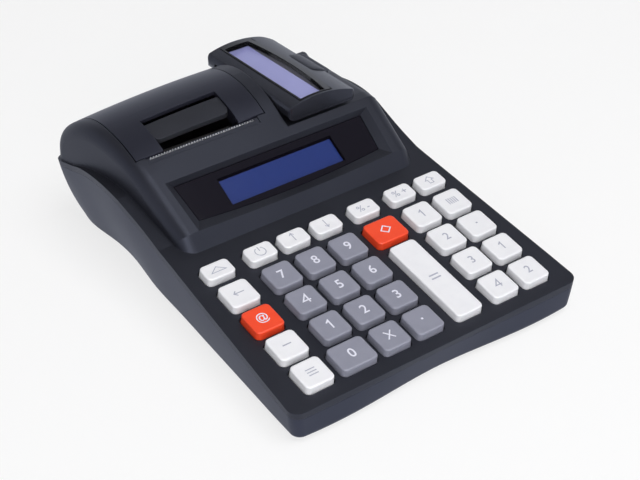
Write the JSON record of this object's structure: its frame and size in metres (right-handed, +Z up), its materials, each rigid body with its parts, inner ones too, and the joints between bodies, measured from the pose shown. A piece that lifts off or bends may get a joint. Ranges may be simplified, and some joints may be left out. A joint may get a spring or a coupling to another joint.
{
  "type": "ticket register",
  "caption": "Low desk-top till with a sloping keypad, a smoked operator's display, a ticket printer under a hinged cover and a flip-up customer display.",
  "frame": {"origin": "middle of the footprint, on the desk under the rubber feet", "axes": "+Z up, +Y from the keypad's front edge to the rear, +X to the right as the operator sees it"},
  "size_m": [0.1608, 0.2101, 0.0696],
  "materials": {
    "case_upper": "fine texture",
    "case_lower": "fine texture",
    "cover_plastic": "fine texture",
    "lever_plastic": "satin",
    "display_shell": "satin",
    "frame_plastic": "matt",
    "key_white": "satin",
    "key_grey": "satin",
    "key_red": "satin",
    "mat_rubber": "matt",
    "foot_rubber": "matt",
    "platen_rubber": "matt",
    "lcd_blue": "gloss",
    "lcd_pale": "gloss",
    "smoked_window": "smoked gloss",
    "clear_window": "clear gloss",
    "circuit_board": "satin",
    "battery_wrap": "film",
    "gear_plastic": "satin",
    "jack_plastic": "matt",
    "screw_steel": "zinc plated",
    "pin_steel": "ground",
    "motor_steel": "zinc plated",
    "tear_steel": "ground",
    "head_aluminium": "milled"
  },
  "bodies": {
    "case": {"bottom_case": "case_lower", "top_case": "case_upper", "case_screws": "screw_steel", "rubber_feet": "foot_rubber", "battery_door": "case_lower", "battery_pack": "battery_wrap", "main_board": "circuit_board", "key_board": "circuit_board", "keypad_mat": "mat_rubber", "operator_lcd": "lcd_blue", "display_window": "smoked_window", "printer_frame": "frame_plastic", "print_head": "head_aluminium", "printer_motor": "motor_steel", "tear_bar": "tear_steel", "cover_hinge_pin": "pin_steel", "customer_display_pin": "pin_steel", "dc_jack": "jack_plastic"},
    "cover": {"printer_cover": "cover_plastic"},
    "cover_lever": {"cover_lever": "lever_plastic"},
    "platen": {"platen_roller": "platen_rubber", "platen_gear": "gear_plastic"},
    "drive": {"drive_gear": "gear_plastic"},
    "customer_display": {"customer_display_bezel": "display_shell", "customer_display_base": "case_lower", "customer_display_window": "clear_window", "customer_display_lcd": "lcd_pale"},
    "key_feed": {"key_feed": "key_white"},
    "key_power": {"key_power": "key_white"},
    "key_up": {"key_up": "key_white"},
    "key_down": {"key_down": "key_white"},
    "key_minus_percent": {"key_minus_percent": "key_white"},
    "key_plus_percent": {"key_plus_percent": "key_white"},
    "key_shift": {"key_shift": "key_white"},
    "key_clear": {"key_clear": "key_white"},
    "key_7": {"key_7": "key_grey"},
    "key_8": {"key_8": "key_grey"},
    "key_9": {"key_9": "key_grey"},
    "key_subtotal": {"key_subtotal": "key_red"},
    "key_department_1": {"key_department_1": "key_white"},
    "key_code": {"key_code": "key_white"},
    "key_price": {"key_price": "key_red"},
    "key_4": {"key_4": "key_grey"},
    "key_5": {"key_5": "key_grey"},
    "key_6": {"key_6": "key_grey"},
    "key_total": {"key_total": "key_white"},
    "key_department_2": {"key_department_2": "key_white"},
    "key_function": {"key_function": "key_white"},
    "key_void": {"key_void": "key_white"},
    "key_1": {"key_1": "key_grey"},
    "key_2": {"key_2": "key_grey"},
    "key_3": {"key_3": "key_grey"},
    "key_department_3": {"key_department_3": "key_white"},
    "key_payment_1": {"key_payment_1": "key_white"},
    "key_lookup": {"key_lookup": "key_white"},
    "key_0": {"key_0": "key_grey"},
    "key_multiply": {"key_multiply": "key_grey"},
    "key_point": {"key_point": "key_grey"},
    "key_department_4": {"key_department_4": "key_white"},
    "key_payment_2": {"key_payment_2": "key_white"}
  },
  "joints": [
    {"name": "cover_hinge", "type": "hinge", "parent": "case", "child": "cover", "pos_m": [-0.0288, 0.0988, 0.043], "axis": [-1, 0, 0], "range_deg": [0, 78]},
    {"name": "lever_lift", "type": "hinge", "parent": "cover", "child": "cover_lever", "pos_m": [-0.0288, 0.0572, 0.06531], "axis": [-0.9993, 0, -0.0386], "range_deg": [0, 30], "stiffness_Nm_per_rad": 0.002, "springref_deg": -28.65},
    {"name": "platen_spin", "type": "hinge", "parent": "cover", "child": "platen", "pos_m": [-0.0288, 0.0485, 0.051], "axis": [1, 0, 0], "continuous": true},
    {"name": "drive_spin", "type": "hinge", "parent": "case", "child": "drive", "pos_m": [0, 0.0485, 0.0408], "axis": [1, 0, 0], "continuous": true},
    {"name": "display_lift", "type": "hinge", "parent": "case", "child": "customer_display", "pos_m": [0.0186, 0.0312, 0.0622], "axis": [0, -0.9994, 0.0349], "range_deg": [0, 75]},
    {"name": "key_feed_press", "type": "slide", "parent": "case", "child": "key_feed", "axis": [0, 0.1544, -0.988], "range_m": [0, 0.002], "stiffness_N_per_m": 300, "springref_m": -0.001},
    {"name": "key_power_press", "type": "slide", "parent": "case", "child": "key_power", "axis": [0, 0.1544, -0.988], "range_m": [0, 0.002], "stiffness_N_per_m": 300, "springref_m": -0.001},
    {"name": "key_up_press", "type": "slide", "parent": "case", "child": "key_up", "axis": [0, 0.1544, -0.988], "range_m": [0, 0.002], "stiffness_N_per_m": 300, "springref_m": -0.001},
    {"name": "key_down_press", "type": "slide", "parent": "case", "child": "key_down", "axis": [0, 0.1544, -0.988], "range_m": [0, 0.002], "stiffness_N_per_m": 300, "springref_m": -0.001},
    {"name": "key_minus_percent_press", "type": "slide", "parent": "case", "child": "key_minus_percent", "axis": [0, 0.1544, -0.988], "range_m": [0, 0.002], "stiffness_N_per_m": 300, "springref_m": -0.001},
    {"name": "key_plus_percent_press", "type": "slide", "parent": "case", "child": "key_plus_percent", "axis": [0, 0.1544, -0.988], "range_m": [0, 0.002], "stiffness_N_per_m": 300, "springref_m": -0.001},
    {"name": "key_shift_press", "type": "slide", "parent": "case", "child": "key_shift", "axis": [0, 0.1544, -0.988], "range_m": [0, 0.002], "stiffness_N_per_m": 300, "springref_m": -0.001},
    {"name": "key_clear_press", "type": "slide", "parent": "case", "child": "key_clear", "axis": [0, 0.1544, -0.988], "range_m": [0, 0.002], "stiffness_N_per_m": 300, "springref_m": -0.001},
    {"name": "key_7_press", "type": "slide", "parent": "case", "child": "key_7", "axis": [0, 0.1544, -0.988], "range_m": [0, 0.002], "stiffness_N_per_m": 300, "springref_m": -0.001},
    {"name": "key_8_press", "type": "slide", "parent": "case", "child": "key_8", "axis": [0, 0.1544, -0.988], "range_m": [0, 0.002], "stiffness_N_per_m": 300, "springref_m": -0.001},
    {"name": "key_9_press", "type": "slide", "parent": "case", "child": "key_9", "axis": [0, 0.1544, -0.988], "range_m": [0, 0.002], "stiffness_N_per_m": 300, "springref_m": -0.001},
    {"name": "key_subtotal_press", "type": "slide", "parent": "case", "child": "key_subtotal", "axis": [0, 0.1544, -0.988], "range_m": [0, 0.002], "stiffness_N_per_m": 300, "springref_m": -0.001},
    {"name": "key_department_1_press", "type": "slide", "parent": "case", "child": "key_department_1", "axis": [0, 0.1544, -0.988], "range_m": [0, 0.002], "stiffness_N_per_m": 300, "springref_m": -0.001},
    {"name": "key_code_press", "type": "slide", "parent": "case", "child": "key_code", "axis": [0, 0.1544, -0.988], "range_m": [0, 0.002], "stiffness_N_per_m": 300, "springref_m": -0.001},
    {"name": "key_price_press", "type": "slide", "parent": "case", "child": "key_price", "axis": [0, 0.1544, -0.988], "range_m": [0, 0.002], "stiffness_N_per_m": 300, "springref_m": -0.001},
    {"name": "key_4_press", "type": "slide", "parent": "case", "child": "key_4", "axis": [0, 0.1544, -0.988], "range_m": [0, 0.002], "stiffness_N_per_m": 300, "springref_m": -0.001},
    {"name": "key_5_press", "type": "slide", "parent": "case", "child": "key_5", "axis": [0, 0.1544, -0.988], "range_m": [0, 0.002], "stiffness_N_per_m": 300, "springref_m": -0.001},
    {"name": "key_6_press", "type": "slide", "parent": "case", "child": "key_6", "axis": [0, 0.1544, -0.988], "range_m": [0, 0.002], "stiffness_N_per_m": 300, "springref_m": -0.001},
    {"name": "key_total_press", "type": "slide", "parent": "case", "child": "key_total", "axis": [0, 0.1544, -0.988], "range_m": [0, 0.002], "stiffness_N_per_m": 300, "springref_m": -0.001},
    {"name": "key_department_2_press", "type": "slide", "parent": "case", "child": "key_department_2", "axis": [0, 0.1544, -0.988], "range_m": [0, 0.002], "stiffness_N_per_m": 300, "springref_m": -0.001},
    {"name": "key_function_press", "type": "slide", "parent": "case", "child": "key_function", "axis": [0, 0.1544, -0.988], "range_m": [0, 0.002], "stiffness_N_per_m": 300, "springref_m": -0.001},
    {"name": "key_void_press", "type": "slide", "parent": "case", "child": "key_void", "axis": [0, 0.1544, -0.988], "range_m": [0, 0.002], "stiffness_N_per_m": 300, "springref_m": -0.001},
    {"name": "key_1_press", "type": "slide", "parent": "case", "child": "key_1", "axis": [0, 0.1544, -0.988], "range_m": [0, 0.002], "stiffness_N_per_m": 300, "springref_m": -0.001},
    {"name": "key_2_press", "type": "slide", "parent": "case", "child": "key_2", "axis": [0, 0.1544, -0.988], "range_m": [0, 0.002], "stiffness_N_per_m": 300, "springref_m": -0.001},
    {"name": "key_3_press", "type": "slide", "parent": "case", "child": "key_3", "axis": [0, 0.1544, -0.988], "range_m": [0, 0.002], "stiffness_N_per_m": 300, "springref_m": -0.001},
    {"name": "key_department_3_press", "type": "slide", "parent": "case", "child": "key_department_3", "axis": [0, 0.1544, -0.988], "range_m": [0, 0.002], "stiffness_N_per_m": 300, "springref_m": -0.001},
    {"name": "key_payment_1_press", "type": "slide", "parent": "case", "child": "key_payment_1", "axis": [0, 0.1544, -0.988], "range_m": [0, 0.002], "stiffness_N_per_m": 300, "springref_m": -0.001},
    {"name": "key_lookup_press", "type": "slide", "parent": "case", "child": "key_lookup", "axis": [0, 0.1544, -0.988], "range_m": [0, 0.002], "stiffness_N_per_m": 300, "springref_m": -0.001},
    {"name": "key_0_press", "type": "slide", "parent": "case", "child": "key_0", "axis": [0, 0.1544, -0.988], "range_m": [0, 0.002], "stiffness_N_per_m": 300, "springref_m": -0.001},
    {"name": "key_multiply_press", "type": "slide", "parent": "case", "child": "key_multiply", "axis": [0, 0.1544, -0.988], "range_m": [0, 0.002], "stiffness_N_per_m": 300, "springref_m": -0.001},
    {"name": "key_point_press", "type": "slide", "parent": "case", "child": "key_point", "axis": [0, 0.1544, -0.988], "range_m": [0, 0.002], "stiffness_N_per_m": 300, "springref_m": -0.001},
    {"name": "key_department_4_press", "type": "slide", "parent": "case", "child": "key_department_4", "axis": [0, 0.1544, -0.988], "range_m": [0, 0.002], "stiffness_N_per_m": 300, "springref_m": -0.001},
    {"name": "key_payment_2_press", "type": "slide", "parent": "case", "child": "key_payment_2", "axis": [0, 0.1544, -0.988], "range_m": [0, 0.002], "stiffness_N_per_m": 300, "springref_m": -0.001}
  ],
  "couplings": [
    {"joint": "drive_spin", "follows": "platen_spin", "ratio": -1.4286}
  ]
}
